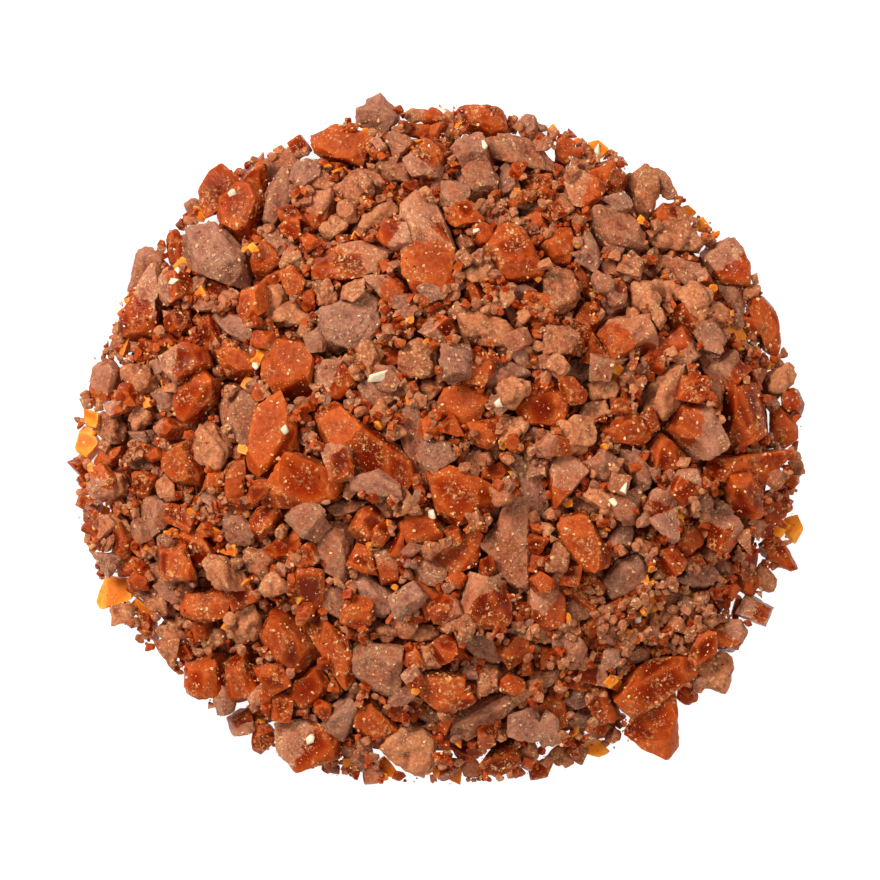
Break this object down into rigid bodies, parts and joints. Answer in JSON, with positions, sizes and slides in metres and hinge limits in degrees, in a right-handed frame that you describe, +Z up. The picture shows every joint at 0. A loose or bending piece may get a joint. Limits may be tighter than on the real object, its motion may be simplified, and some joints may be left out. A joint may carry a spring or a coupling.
{
  "type": "heap of crushed caramel crunch milk chocolate bar",
  "caption": "Loose low heap of a crushed milk chocolate bar with caramel crunch: glossy orange-brown toffee shards, milk chocolate chunks and crumbs, as it lies on a table",
  "frame": {"origin": "on the table, under the middle of the heap", "axes": "+Z is up, +X is to the right and +Y away from the viewer, as the heap is seen from above"},
  "size_m": [0.1102, 0.1052, 0.0216],
  "materials": {
    "crushed_bar": "mixed crumb of milk chocolate and toffee",
    "toffee": "hard glossy caramel toffee, slightly see-through, dusted with pale specks",
    "amber_toffee": "thin glossy toffee flakes that let light through at the edge",
    "milk_chocolate": "broken milk chocolate, dull, with fine pale dust",
    "chocolate_crumb": "rough tan chocolate crumb",
    "almond": "chopped almond, cream coloured"
  },
  "bodies": {
    "root": {"crushed_bar_heap": "crushed_bar"}
  },
  "joints": []
}
